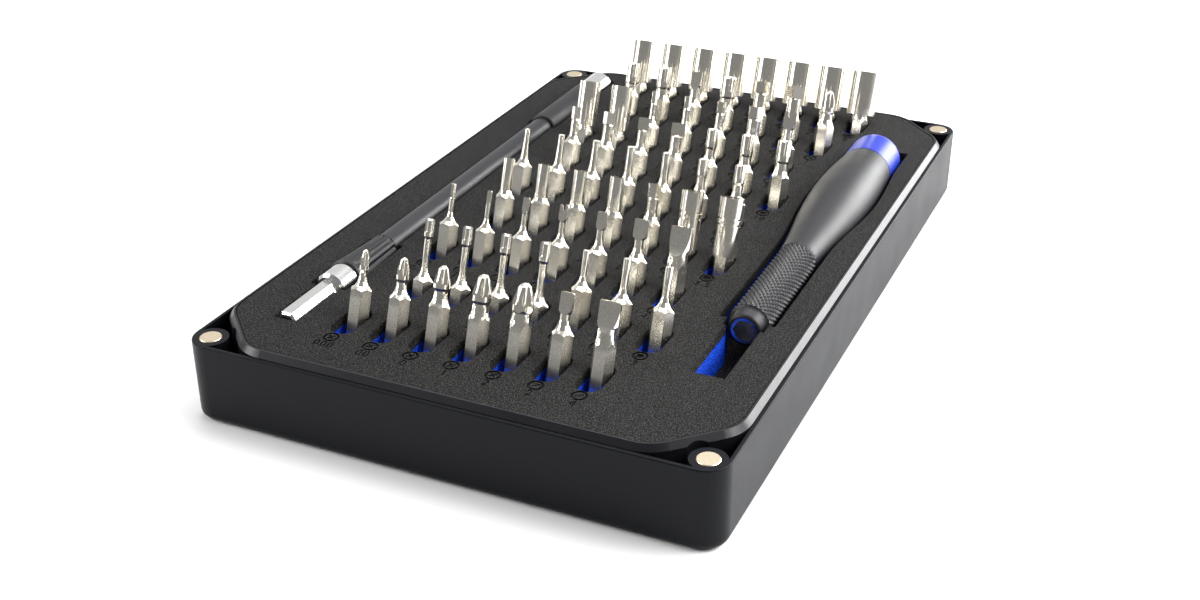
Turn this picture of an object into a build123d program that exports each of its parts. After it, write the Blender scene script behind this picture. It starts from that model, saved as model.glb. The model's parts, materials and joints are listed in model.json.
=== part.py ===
"""Precision screwdriver set: tray with corner magnets, layered foam, driver, flexible extension and bits.

Frame: X runs across the tray, Y along it (front is -Y), Z is up.  The origin is the middle of the underside.
All sizes are millimetres.
"""
import os
from math import cos, radians, sin, sqrt

from build123d import *

os.makedirs("parts", exist_ok=True)

# ---- tray ------------------------------------------------------------------------------------------
CASE_W = 110.4            # outside width
CASE_L = 172.2            # outside length
CASE_WALL = 0.8
CASE_FLOOR = 1.2
CORNER_R = 5.0            # vertical corners
BOTTOM_ROUND = 1.9
RIM_ROUND = 0.3
SLIDE_FIT = 0.1           # all round the liner
LINER_WALL = 1.3
LINER_FLOOR = 0.8
LIP_RISE = 1.3            # liner above the outer wall
LIP_SLOPE_W = 0.9         # slope on the lip's outer edge, across
LIP_SLOPE_H = 1.2         # and down
POCKET_LEG = 12.6         # chamfer on the liner's corners, which opens the magnet pockets
POCKET_ROUND = 9.0

# ---- corner magnets --------------------------------------------------------------------------------
MAGNET_D = 4.4
MAGNET_T = 2.0
MAGNET_INSET = 4.04       # from both outer walls
MAGNET_PROUD = 0.1
POST_R = 3.5
LID_POST_RELIEF = 1.4     # groove in the lip round each post

# ---- foam ------------------------------------------------------------------------------------------
BED_UNDER_BITS = 1.22     # foam left below the slots, which sets the height of the whole tray
FOAM_GAP = 0.1
FOAM_BELOW_LIP = 0.1
TOP_SHEET_T = 2.0
BLUE_LAYER_T = 6.5

# ---- bits ------------------------------------------------------------------------------------------
HEX_AF = 4.0
BIT_L = 28.0
BIT_BURIED = 15.0         # length below the foam surface, along the bit
BIT_LEAN = 20.0           # degrees back from upright
BIT_PULL = 17.0
SLOT_GAP = 0.3
FOOT_GAP = 0.2
COL_PITCH = 8.71
ROW_PITCH = 17.47
STAGGER = 4.36
FLEX_TO_BITS = 12.28      # from the flexible extension's axis to the first column
FRONT_ROW_INSET = 21.48   # from the front wall
FOOT_CHAMFER = 0.4
HEAD_CLEAR = 2.2          # lowest a head wider than its slot may start, along the bit
FLARE_L = 2.8

# ---- driver ----------------------------------------------------------------------------------------
FOAM_EDGE_WALL = 3.25     # foam left between the recess and the foam's right edge
GRIP_INSET = 50.9         # from the front wall to the front of the grip
GRIP_R = 4.3
GRIP_L = 30.0
BELLY_R = 7.2
GRIP_TO_BELLY = 62.4      # from the front of the grip to where the handle is widest
NOSE_L = 3.0
NOSE_WALL = 0.8           # round the bit socket
GRIP_TO_CAP = 81.9        # from the front of the grip to the front of the cap
CAP_L = 12.5
CAP_R = 6.3
CAP_GAP = 0.3
CAP_CROWN = 3.0
DRIVER_SEAT_GAP = 0.3
RECESS_GAP = 0.7
GRIP_GAP_LEFT = 1.6       # room for a fingertip beside the grip
GRIP_GAP_RIGHT = 1.2
BIT_RECESS_W = 6.9        # room for a bit that is left in the driver
BIT_RECESS_L = 20.0       # in front of the nose
SOCKET_WALL = 0.33        # outside the corners of the hexagonal bore
SOCKET_L = 14.0
SOCKET_BORE_L = 9.0
SOCKET_FIT = 0.1          # added to the hex
SOCKET_MAGNET_R = 1.8
SOCKET_MAGNET_L = 3.0
AXLE_R = 1.5
AXLE_L = 20.0
AXLE_IN_CAP = 8.0
BEARING_R = 3.4
BEARING_L = 3.0
RUNNING_FIT = 0.05

# ---- flexible extension ----------------------------------------------------------------------------
FLEX_FROM_EDGE = 11.9     # from the foam's left edge to the axis
FLEX_SINK = 1.0           # axis below the foam surface
FLEX_INSET = 14.7         # from the front wall
FLEX_SHANK_L = 15.0       # bare hex in front of the collar
FLEX_COLLAR_L = 5.5
FLEX_COLLAR_R = 3.4
FLEX_SLEEVE_L = 15.8
FLEX_SLEEVE_R1 = 3.8
FLEX_SLEEVE_R2 = 3.1
FLEX_FLUTES = 10
FLEX_FLUTE_R = 0.55
FLEX_TUBE_R = 1.9
FLEX_SHEATH_R = 2.8
FLEX_SHEATH_L = 76.0
FLEX_FERRULE_L = 25.0
FLEX_FERRULE_R = 3.5
FLEX_SOCKET_L = 11.0
FLEX_SOCKET_R = 3.4
FLEX_CORE_R = 1.2
END_PLAY = 0.2
FLEX_RECESS_GAP = 0.4

# ---- worked out ------------------------------------------------------------------------------------
LEAN_SIN = sin(radians(BIT_LEAN))
LEAN_COS = cos(radians(BIT_LEAN))
HEX_CORNER = HEX_AF / sqrt(3)

LINER_INSET = CASE_WALL + SLIDE_FIT
FOAM_INSET = LINER_INSET + LINER_WALL + FOAM_GAP
FOAM_BOTTOM_Z = CASE_FLOOR + LINER_FLOOR
SLOT_FLOOR_Z = FOAM_BOTTOM_Z + BED_UNDER_BITS
FOAM_Z = SLOT_FLOOR_Z + FOOT_GAP + HEX_AF / 2 * LEAN_SIN + BIT_BURIED * LEAN_COS
LIP_Z = FOAM_Z + FOAM_BELOW_LIP
RIM_Z = LIP_Z - LIP_RISE
BLUE_TOP_Z = FOAM_Z - TOP_SHEET_T
BLUE_BOTTOM_Z = BLUE_TOP_Z - BLUE_LAYER_T

SLOT_R = HEX_CORNER + SLOT_GAP
SLOT_RUN = BIT_BURIED * LEAN_SIN + FOOT_GAP
BIT_OUT = BIT_L - BIT_BURIED

SOCKET_R = (HEX_AF + SOCKET_FIT) / sqrt(3) + SOCKET_WALL
NOSE_R = SOCKET_R + NOSE_WALL
DRIVER_X = CASE_W / 2 - FOAM_INSET - FOAM_EDGE_WALL - RECESS_GAP - BELLY_R
DRIVER_Z = BLUE_BOTTOM_Z + DRIVER_SEAT_GAP + BELLY_R
GRIP_FRONT_Y = GRIP_INSET - CASE_L / 2
GRIP_REAR_Y = GRIP_FRONT_Y + GRIP_L
BELLY_Y = GRIP_FRONT_Y + GRIP_TO_BELLY
NOSE_Y = GRIP_FRONT_Y - NOSE_L
CAP_FRONT_Y = GRIP_FRONT_Y + GRIP_TO_CAP
HANDLE_REAR_Y = CAP_FRONT_Y - CAP_GAP
CAP_REAR_Y = CAP_FRONT_Y + CAP_L
DRIVER_AXIS = Axis((DRIVER_X, 0, DRIVER_Z), (0, 1, 0))

FLEX_X = FLEX_FROM_EDGE + FOAM_INSET - CASE_W / 2
FLEX_Z = FOAM_Z - FLEX_SINK
FLEX_FRONT_Y = FLEX_INSET - CASE_L / 2
FLEX_COLLAR_Y = FLEX_FRONT_Y + FLEX_SHANK_L
FLEX_SLEEVE_Y = FLEX_COLLAR_Y + FLEX_COLLAR_L + END_PLAY
FLEX_SHEATH_Y = FLEX_SLEEVE_Y + FLEX_SLEEVE_L + END_PLAY
FLEX_FERRULE_Y = FLEX_SHEATH_Y + FLEX_SHEATH_L
FLEX_SOCKET_Y = FLEX_FERRULE_Y + FLEX_FERRULE_L
FLEX_REAR_Y = FLEX_SOCKET_Y + FLEX_SOCKET_L

FIRST_COL_X = FLEX_X + FLEX_TO_BITS
FIRST_ROW_Y = FRONT_ROW_INSET - CASE_L / 2

POSTS = [
    (sx * (CASE_W / 2 - MAGNET_INSET), sy * (CASE_L / 2 - MAGNET_INSET))
    for sx in (-1, 1)
    for sy in (-1, 1)
]


def save(part, name):
    """Label a finished piece and write it."""
    part.label = name
    export_step(part, f"parts/{name}.step")
    print(name, round(part.volume, 2))


def liner_outline(z, inset):
    """The liner's outline, with clipped and rounded corners, that far inside the tray's outer wall."""
    inward = inset - LINER_INSET
    with BuildSketch(Plane.XY.offset(z)) as outline:
        Rectangle(CASE_W - 2 * inset, CASE_L - 2 * inset)
        chamfer(outline.vertices(), POCKET_LEG - (2 - sqrt(2)) * inward)
        fillet(outline.vertices(), max(POCKET_ROUND - inward, 0.5))
    return outline.sketch


# ---- tray pieces -----------------------------------------------------------------------------------
def build_case_shell():
    """Outer tray: floor, four walls and a magnet post in each corner."""
    with BuildPart() as shell:
        with BuildSketch():
            RectangleRounded(CASE_W, CASE_L, CORNER_R)
        extrude(amount=RIM_Z)
        fillet(shell.faces().sort_by(Axis.Z)[0].edges(), BOTTOM_ROUND)
        fillet(shell.faces().sort_by(Axis.Z)[-1].edges(), RIM_ROUND)
        with BuildSketch(Plane.XY.offset(CASE_FLOOR)):
            RectangleRounded(CASE_W - 2 * CASE_WALL, CASE_L - 2 * CASE_WALL, CORNER_R - CASE_WALL)
        extrude(amount=RIM_Z, mode=Mode.SUBTRACT)
        with BuildSketch(Plane.XY.offset(CASE_FLOOR)):
            with Locations(*POSTS):
                Circle(POST_R)
        extrude(amount=RIM_Z - CASE_FLOOR)
        with BuildSketch(Plane.XY.offset(RIM_Z)):
            with Locations(*POSTS):
                Circle(MAGNET_D / 2)
        extrude(amount=MAGNET_PROUD - MAGNET_T, mode=Mode.SUBTRACT)
    save(shell.part, "case_shell")


def build_case_magnets():
    """Disc magnets pressed into the posts, a little proud."""
    with BuildPart() as magnets:
        with BuildSketch(Plane.XY.offset(RIM_Z + MAGNET_PROUD - MAGNET_T)):
            with Locations(*POSTS):
                Circle(MAGNET_D / 2)
        extrude(amount=MAGNET_T)
        chamfer(magnets.faces().group_by(Axis.Z)[-1].edges(), 0.15)
    save(magnets.part, "case_magnets")


def build_liner():
    """Inner tray that holds the foam; its lip stands above the outer wall."""
    with BuildPart() as liner:
        extrude(liner_outline(CASE_FLOOR, LINER_INSET), amount=LIP_Z - CASE_FLOOR)
        top = liner.faces().sort_by(Axis.Z)[-1]
        chamfer(top.edges(), LIP_SLOPE_W, LIP_SLOPE_H, reference=top)
        extrude(liner_outline(FOAM_BOTTOM_Z, LINER_INSET + LINER_WALL), amount=LIP_Z, mode=Mode.SUBTRACT)
        with BuildSketch(Plane.XY.offset(CASE_FLOOR)):
            with Locations(*POSTS):
                Circle(POST_R + LID_POST_RELIEF)
        extrude(amount=LIP_Z, mode=Mode.SUBTRACT)
    save(liner.part, "liner_tray")


# ---- foam ------------------------------------------------------------------------------------------
def bit_seat(row, col):
    """Plane whose origin is where the bit's axis meets the foam surface, and whose Z is that axis."""
    x = FIRST_COL_X + col * COL_PITCH + (STAGGER if row % 2 else 0)
    y = FIRST_ROW_Y + row * ROW_PITCH
    return Plane(origin=(x, y, FOAM_Z), x_dir=(1, 0, 0), z_dir=(0, LEAN_SIN, LEAN_COS))


def cut_bit_slots(bottom, top):
    """Upright round-ended slots: a bit's foot sits at the front end and its shank leans on the rear."""
    with BuildSketch(Plane.XY.offset(bottom)) as slots:
        for row, col in SEATS:
            seat = bit_seat(row, col).origin
            with Locations((seat.X, seat.Y - SLOT_RUN / 2)):
                SlotCenterToCenter(SLOT_RUN, 2 * SLOT_R, rotation=90)
    extrude(slots.sketch, amount=top - bottom, mode=Mode.SUBTRACT)


def driver_recess_outline():
    """Outline of the driver's recess: bit clearance, grip, then a curve that follows the handle."""
    left = DRIVER_X - GRIP_R - GRIP_GAP_LEFT
    right = DRIVER_X + GRIP_R + GRIP_GAP_RIGHT
    belly = BELLY_R + RECESS_GAP
    cap = CAP_R + RECESS_GAP
    rear = CAP_REAR_Y + RECESS_GAP
    front = GRIP_FRONT_Y - RECESS_GAP
    nose_front = NOSE_Y - RECESS_GAP
    with BuildLine() as edge:
        Polyline((right, front), (left, front), (left, GRIP_REAR_Y + 3))
        Spline(
            (left, GRIP_REAR_Y + 3), (DRIVER_X - belly, BELLY_Y - 4), (DRIVER_X - cap, CAP_FRONT_Y),
            tangents=((0, 1), (0.08, 1)),
        )
        Polyline((DRIVER_X - cap, CAP_FRONT_Y), (DRIVER_X - cap, rear), (DRIVER_X + cap, rear),
                 (DRIVER_X + cap, CAP_FRONT_Y))
        Spline(
            (DRIVER_X + cap, CAP_FRONT_Y), (DRIVER_X + belly, BELLY_Y - 4), (right, GRIP_REAR_Y + 3),
            tangents=((0.08, -1), (0, -1)),
        )
        Line((right, GRIP_REAR_Y + 3), (right, front))
    make_face(edge.edges())
    with Locations((DRIVER_X, (nose_front + GRIP_FRONT_Y) / 2)):
        Rectangle(2 * (NOSE_R + RECESS_GAP), GRIP_FRONT_Y - nose_front)
    with Locations((DRIVER_X, NOSE_Y - BIT_RECESS_L / 2)):
        Rectangle(BIT_RECESS_W, BIT_RECESS_L)


def cut_driver_recess(bottom, top):
    """Cut the driver's recess between two heights."""
    with BuildSketch(Plane.XY.offset(bottom)) as recess:
        driver_recess_outline()
    extrude(recess.sketch, amount=top - bottom, mode=Mode.SUBTRACT)


def cut_flex_recess(bottom, top):
    """Stepped channel for the flexible extension."""
    gap = FLEX_RECESS_GAP
    steps = [
        (FLEX_FRONT_Y, FLEX_COLLAR_Y, HEX_CORNER),
        (FLEX_COLLAR_Y, FLEX_SHEATH_Y, FLEX_SLEEVE_R1),
        (FLEX_SHEATH_Y, FLEX_FERRULE_Y, FLEX_SHEATH_R),
        (FLEX_FERRULE_Y, FLEX_REAR_Y, FLEX_FERRULE_R),
    ]
    floor = max(bottom, FLEX_Z - FLEX_SLEEVE_R1 - gap)
    with BuildSketch(Plane.XY.offset(floor)) as channel:
        for start, stop, radius in steps:
            with Locations((FLEX_X, (start + stop) / 2)):
                Rectangle(2 * (radius + gap), stop - start + 2 * gap)
    extrude(channel.sketch, amount=top - floor, mode=Mode.SUBTRACT)


def build_foam():
    """Black top sheet, blue middle layer and the base block under them, all with the same cut-outs."""
    layers = [
        ("foam_base_block", FOAM_BOTTOM_Z, BLUE_BOTTOM_Z, SLOT_FLOOR_Z),
        ("foam_blue_layer", BLUE_BOTTOM_Z, BLUE_TOP_Z, BLUE_BOTTOM_Z),
        ("foam_top_sheet", BLUE_TOP_Z, FOAM_Z, BLUE_TOP_Z),
    ]
    for name, bottom, top, slot_floor in layers:
        with BuildPart() as layer:
            extrude(liner_outline(bottom, FOAM_INSET), amount=top - bottom)
            cut_bit_slots(slot_floor, top)
            if bottom >= BLUE_BOTTOM_Z:
                cut_driver_recess(bottom, top)
                cut_flex_recess(bottom, top)
        save(layer.part, name)


# ---- driver ----------------------------------------------------------------------------------------
def tool_plane(axis_x, axis_z, y):
    """Plane square to a tool that lies along Y; its own Z points to the rear."""
    return Plane(origin=(axis_x, y, axis_z), x_dir=(1, 0, 0), z_dir=(0, 1, 0))


def build_driver():
    """Handle with its bit socket and magnet, and the free-turning cap on its axle and bearing."""
    side = Plane.XY.offset(DRIVER_Z)
    x = DRIVER_X
    with BuildPart() as handle:
        with BuildSketch(side):
            with BuildLine():
                Polyline(
                    (x, HANDLE_REAR_Y), (x, NOSE_Y), (x + NOSE_R - 0.5, NOSE_Y), (x + NOSE_R, NOSE_Y + 0.5),
                    (x + NOSE_R, GRIP_FRONT_Y - 0.8), (x + GRIP_R, GRIP_FRONT_Y), (x + GRIP_R, GRIP_REAR_Y),
                )
                Spline(
                    (x + GRIP_R, GRIP_REAR_Y), (x + (GRIP_R + BELLY_R) / 2, (GRIP_REAR_Y + BELLY_Y) / 2 - 2),
                    (x + BELLY_R, BELLY_Y), (x + CAP_R, HANDLE_REAR_Y),
                    tangents=((0.05, 1), (-0.08, 1)),
                )
                Line((x + CAP_R, HANDLE_REAR_Y), (x, HANDLE_REAR_Y))
            make_face()
        revolve(axis=DRIVER_AXIS)
        with BuildSketch(tool_plane(x, DRIVER_Z, NOSE_Y)):
            Circle(SOCKET_R)
        extrude(amount=SOCKET_L, mode=Mode.SUBTRACT)
        with BuildSketch(tool_plane(x, DRIVER_Z, HANDLE_REAR_Y)):
            Circle(AXLE_R)
        extrude(amount=-(AXLE_L - AXLE_IN_CAP - CAP_GAP), mode=Mode.SUBTRACT)
    save(handle.part, "driver_handle")

    build_hex_socket("driver_bit_socket", tool_plane(x, DRIVER_Z, NOSE_Y), SOCKET_R, SOCKET_L)
    build_socket_magnet("driver_socket_magnet", tool_plane(x, DRIVER_Z, NOSE_Y))

    with BuildPart() as axle:
        with BuildSketch(tool_plane(x, DRIVER_Z, CAP_FRONT_Y + AXLE_IN_CAP - AXLE_L)):
            Circle(AXLE_R)
        extrude(amount=AXLE_L)
        chamfer(axle.faces().filter_by(GeomType.PLANE).edges(), 0.2)
    save(axle.part, "driver_cap_axle")

    with BuildPart() as cap:
        with BuildSketch(side):
            with BuildLine():
                Polyline((x, CAP_REAR_Y), (x, CAP_FRONT_Y), (x + CAP_R, CAP_FRONT_Y),
                         (x + CAP_R, CAP_REAR_Y - CAP_CROWN - 1))
                Spline(
                    (x + CAP_R, CAP_REAR_Y - CAP_CROWN - 1), (x + CAP_R - 1.6, CAP_REAR_Y - 0.9),
                    (x, CAP_REAR_Y), tangents=((0, 1), (-1, 0)),
                )
            make_face()
        revolve(axis=DRIVER_AXIS)
        with BuildSketch(tool_plane(x, DRIVER_Z, CAP_FRONT_Y)):
            Circle(BEARING_R)
        extrude(amount=BEARING_L, mode=Mode.SUBTRACT)
        with BuildSketch(tool_plane(x, DRIVER_Z, CAP_FRONT_Y)):
            Circle(AXLE_R + RUNNING_FIT)
        extrude(amount=AXLE_IN_CAP + END_PLAY, mode=Mode.SUBTRACT)
    save(cap.part, "driver_swivel_cap")

    with BuildPart() as bearing:
        with BuildSketch(tool_plane(x, DRIVER_Z, CAP_FRONT_Y)):
            Circle(BEARING_R)
            Circle(AXLE_R + RUNNING_FIT, mode=Mode.SUBTRACT)
        extrude(amount=BEARING_L)
    save(bearing.part, "driver_cap_bearing")


def build_hex_socket(name, mouth, radius, length):
    """Steel socket with a hexagonal bore for bits, open at its mouth plane."""
    with BuildPart() as socket:
        with BuildSketch(mouth):
            Circle(radius)
        extrude(amount=length)
        with BuildSketch(mouth):
            RegularPolygon((HEX_AF + SOCKET_FIT) / 2, 6, major_radius=False)
        extrude(amount=SOCKET_BORE_L, mode=Mode.SUBTRACT)
        with BuildSketch(mouth.offset(SOCKET_BORE_L)):
            Circle(SOCKET_MAGNET_R)
        extrude(amount=SOCKET_MAGNET_L, mode=Mode.SUBTRACT)
    save(socket.part, name)


def build_socket_magnet(name, mouth):
    """Magnet at the bottom of a bit socket."""
    with BuildPart() as magnet:
        with BuildSketch(mouth.offset(SOCKET_BORE_L)):
            Circle(SOCKET_MAGNET_R)
        extrude(amount=SOCKET_MAGNET_L)
    save(magnet.part, name)


# ---- flexible extension ----------------------------------------------------------------------------
def build_flex():
    """Hex shank, collar, free-turning fluted sleeve, flexible core in its sheath, ferrule and socket."""
    def at(y):
        return tool_plane(FLEX_X, FLEX_Z, y)

    with BuildPart() as shank:
        with BuildSketch(at(FLEX_FRONT_Y)):
            RegularPolygon(HEX_AF / 2, 6, major_radius=False)
        extrude(amount=FLEX_SHANK_L)
        chamfer(shank.faces().sort_by(Axis.Y)[0].edges(), FOOT_CHAMFER)
        with BuildSketch(at(FLEX_COLLAR_Y)):
            Circle(FLEX_TUBE_R)
        extrude(amount=FLEX_SHEATH_Y - FLEX_COLLAR_Y)
        with BuildSketch(at(FLEX_SLEEVE_Y)):
            Circle(FLEX_CORE_R)
        extrude(amount=FLEX_SHEATH_Y - FLEX_SLEEVE_Y, mode=Mode.SUBTRACT)
    save(shank.part, "flex_hex_shank")

    with BuildPart() as collar:
        with BuildSketch(at(FLEX_COLLAR_Y)):
            Circle(FLEX_COLLAR_R)
        extrude(amount=FLEX_COLLAR_L)
        chamfer(collar.faces().sort_by(Axis.Y)[0].edges(), 0.6)
        with BuildSketch(at(FLEX_COLLAR_Y)):
            Circle(FLEX_TUBE_R)
        extrude(amount=FLEX_COLLAR_L, mode=Mode.SUBTRACT)
    save(collar.part, "flex_collar")

    with BuildPart() as sleeve:
        with BuildSketch(at(FLEX_SLEEVE_Y)):
            Circle(FLEX_SLEEVE_R1)
        with BuildSketch(at(FLEX_SLEEVE_Y + FLEX_SLEEVE_L)):
            Circle(FLEX_SLEEVE_R2)
        loft()
        with BuildSketch(at(FLEX_SLEEVE_Y + 1.2)):
            with PolarLocations(FLEX_SLEEVE_R1, FLEX_FLUTES):
                Circle(FLEX_FLUTE_R)
        extrude(amount=FLEX_SLEEVE_L, mode=Mode.SUBTRACT)
        with BuildSketch(at(FLEX_SLEEVE_Y)):
            Circle(FLEX_TUBE_R + RUNNING_FIT)
        extrude(amount=FLEX_SLEEVE_L, mode=Mode.SUBTRACT)
    save(sleeve.part, "flex_grip_sleeve")

    with BuildPart() as core:
        with BuildSketch(at(FLEX_SLEEVE_Y)):
            Circle(FLEX_CORE_R)
        extrude(amount=FLEX_SOCKET_Y - FLEX_SLEEVE_Y)
    save(core.part, "flex_core")

    with BuildPart() as sheath:
        with BuildSketch(at(FLEX_SHEATH_Y)):
            Circle(FLEX_SHEATH_R)
            Circle(FLEX_CORE_R, mode=Mode.SUBTRACT)
        extrude(amount=FLEX_SHEATH_L)
    save(sheath.part, "flex_sheath")

    with BuildPart() as ferrule:
        with BuildSketch(at(FLEX_FERRULE_Y)):
            Circle(FLEX_FERRULE_R)
        extrude(amount=FLEX_FERRULE_L)
        fillet(ferrule.faces().sort_by(Axis.Y)[0].edges(), 0.6)
        with BuildSketch(at(FLEX_FERRULE_Y)):
            Circle(FLEX_CORE_R)
        extrude(amount=FLEX_FERRULE_L, mode=Mode.SUBTRACT)
    save(ferrule.part, "flex_rear_ferrule")

    mouth = Plane(origin=(FLEX_X, FLEX_REAR_Y, FLEX_Z), x_dir=(1, 0, 0), z_dir=(0, -1, 0))
    with BuildPart() as socket:
        with BuildSketch(mouth):
            Circle(FLEX_SOCKET_R)
        extrude(amount=FLEX_SOCKET_L)
        chamfer(socket.faces().sort_by(Axis.Y)[-1].edges(), 0.5)
        with BuildSketch(mouth):
            RegularPolygon((HEX_AF + SOCKET_FIT) / 2, 6, major_radius=False)
        extrude(amount=SOCKET_BORE_L - SOCKET_MAGNET_L, mode=Mode.SUBTRACT)
        with BuildSketch(mouth.offset(SOCKET_BORE_L - SOCKET_MAGNET_L)):
            Circle(SOCKET_MAGNET_R)
        extrude(amount=SOCKET_MAGNET_L, mode=Mode.SUBTRACT)
    save(socket.part, "flex_socket")

    with BuildPart() as magnet:
        with BuildSketch(mouth.offset(SOCKET_BORE_L - SOCKET_MAGNET_L)):
            Circle(SOCKET_MAGNET_R)
        extrude(amount=SOCKET_MAGNET_L)
    save(magnet.part, "flex_socket_magnet")


# ---- bits ------------------------------------------------------------------------------------------
def blank(seat, hex_top, stations):
    """Hex shank that flares into a turned stem; stations are (radius, height) up the stem."""
    across = HEX_AF / 2
    first_r = stations[0][0]
    profile = Plane(origin=seat.origin, x_dir=seat.x_dir, z_dir=-seat.y_dir)
    with BuildSketch(profile) as half_section:
        with BuildLine():
            Polyline(
                (0, -BIT_BURIED), (across - FOOT_CHAMFER / 2, -BIT_BURIED),
                (HEX_CORNER, FOOT_CHAMFER - BIT_BURIED), (HEX_CORNER, hex_top),
                (first_r + 0.44 * (HEX_CORNER - first_r), hex_top + 0.3 * FLARE_L),
                (first_r + 0.13 * (HEX_CORNER - first_r), hex_top + 0.62 * FLARE_L),
                *stations, (0, stations[-1][1]), (0, -BIT_BURIED),
            )
        make_face()
    revolve(half_section.sketch, axis=Axis(seat.origin, seat.z_dir))
    with BuildSketch(seat.offset(-BIT_BURIED)) as hexagon:
        RegularPolygon(across, 6, major_radius=False)
    extrude(hexagon.sketch, amount=BIT_L, mode=Mode.INTERSECT)


def tip_length(hex_top, wanted):
    """Length of a tip, limited by the stem that the shank leaves free."""
    return min(wanted, BIT_OUT - hex_top - FLARE_L - 1.0)


def stem(neck_r, hex_top, tip_r, tip_l):
    """Stations of a stem: flare, neck, then a tip of its own radius."""
    tip_base = BIT_OUT - tip_l
    if tip_r > neck_r + 0.05:
        return [(neck_r, hex_top + FLARE_L), (neck_r, tip_base - 0.6), (tip_r, tip_base)]
    return [(neck_r, hex_top + FLARE_L), (tip_r, tip_base)]


def cut_flutes(seat, count, reach, flute_r, length, turn=0.0):
    """Equal grooves round the tip, parallel to the bit."""
    with BuildSketch(seat.offset(BIT_OUT - length)) as flutes:
        with PolarLocations(reach, count, start_angle=turn):
            Circle(flute_r)
    extrude(flutes.sketch, amount=length, mode=Mode.SUBTRACT)


def cross_bit(seat, diameter, hex_top, neck_r):
    """Four-wing cross point."""
    tip_r = diameter / 2
    tip_l = tip_length(hex_top, 2.3 * diameter)
    point_l = min(0.9 * tip_r, 0.4 * tip_l)
    stations = stem(neck_r, hex_top, tip_r, tip_l)
    stations += [
        (tip_r, BIT_OUT - 2 * point_l), (0.55 * tip_r, BIT_OUT - 0.3 * point_l), (0.25 * tip_r, BIT_OUT),
    ]
    blank(seat, hex_top, stations)
    cut_flutes(seat, 4, 1.0 * tip_r, 0.5 * tip_r, 0.8 * tip_l, turn=45)


def slot_bit(seat, width, hex_top, neck_r):
    """Flat blade, hollow ground on both faces."""
    half = width / 2
    tip_l = tip_length(hex_top, 2.0 + 1.1 * half)
    blade_t = 0.25 + 0.07 * width
    grind_r = 9.0
    stations = stem(neck_r, hex_top, half, tip_l)
    stations += [(half, BIT_OUT - 0.15), (half - 0.15, BIT_OUT)]
    blank(seat, hex_top, stations)
    edge = Plane(origin=seat.origin, x_dir=seat.y_dir, z_dir=seat.x_dir)
    with BuildSketch(edge) as grind:
        with Locations((blade_t / 2 + grind_r, BIT_OUT - 0.6), (-blade_t / 2 - grind_r, BIT_OUT - 0.6)):
            Circle(grind_r)
    extrude(grind.sketch, amount=HEX_AF, both=True, mode=Mode.SUBTRACT)


def lobed_bit(seat, diameter, hex_top, neck_r, lobes, pin=False):
    """Lobed tip: three, five or six lobes, some drilled for a security pin."""
    tip_r = diameter / 2
    tip_l = tip_length(hex_top, 1.6 + diameter)
    stations = stem(neck_r, hex_top, tip_r, tip_l)
    stations += [(tip_r, BIT_OUT - 0.25 * tip_r), (0.75 * tip_r, BIT_OUT)]
    blank(seat, hex_top, stations)
    flute_r = {3: 0.62, 5: 0.34, 6: 0.28}[lobes] * tip_r
    cut_flutes(seat, lobes, 1.12 * tip_r, flute_r, 0.75 * tip_l)
    if pin:
        with BuildSketch(seat.offset(BIT_OUT)) as hole:
            Circle(0.28 * tip_r)
        extrude(hole.sketch, amount=-0.6 * tip_l, mode=Mode.SUBTRACT)


def key_bit(seat, across, hex_top, neck_r, sides):
    """Prismatic tip: triangle, square or hexagon."""
    tip_l = tip_length(hex_top, 3.2)
    stations = [
        (neck_r, hex_top + FLARE_L), (neck_r, BIT_OUT - tip_l), (0.8 * across / 2, BIT_OUT - 0.8 * tip_l),
    ]
    blank(seat, hex_top, stations)
    with BuildSketch(seat.offset(BIT_OUT - 0.9 * tip_l)) as key:
        RegularPolygon(across / 2, sides, major_radius=False)
    extrude(key.sketch, amount=0.9 * tip_l)


def spanner_bit(seat, width, hex_top, neck_r):
    """Flat blade with a notch that leaves two prongs."""
    slot_bit(seat, width, hex_top, neck_r)
    across = Plane(origin=seat.origin, x_dir=seat.x_dir, z_dir=-seat.y_dir)
    with BuildSketch(across) as notch:
        with Locations((0, BIT_OUT)):
            SlotCenterToCenter(1.6, width / 3, rotation=90)
    extrude(notch.sketch, amount=HEX_AF, both=True, mode=Mode.SUBTRACT)


def nut_bit(seat, outer, hex_top, across, ring=False):
    """Nut driver: a turned head with a hexagonal socket."""
    neck_r = min(outer / 2, HEX_AF / 2) - 0.2
    stations = [(neck_r, hex_top + FLARE_L), (neck_r, hex_top + FLARE_L + 0.6)]
    blank(seat, hex_top, stations)
    fits_slot = outer / 2 < SLOT_R - 0.1
    head_base = hex_top + 0.4 if fits_slot else max(hex_top + 0.4, HEAD_CLEAR)
    with BuildSketch(seat.offset(head_base)) as head:
        Circle(outer / 2)
    extrude(head.sketch, amount=BIT_OUT - head_base)
    if ring:
        for height in (BIT_OUT - 5.4, BIT_OUT - 4.2):
            with BuildSketch(seat.offset(height)) as groove:
                Circle(outer / 2)
                Circle(outer / 2 - 0.35, mode=Mode.SUBTRACT)
            extrude(groove.sketch, amount=-0.5, mode=Mode.SUBTRACT)
    with BuildSketch(seat.offset(BIT_OUT)) as bore:
        RegularPolygon(across / 2, 6, major_radius=False)
    extrude(bore.sketch, amount=-3.5, mode=Mode.SUBTRACT)


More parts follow.
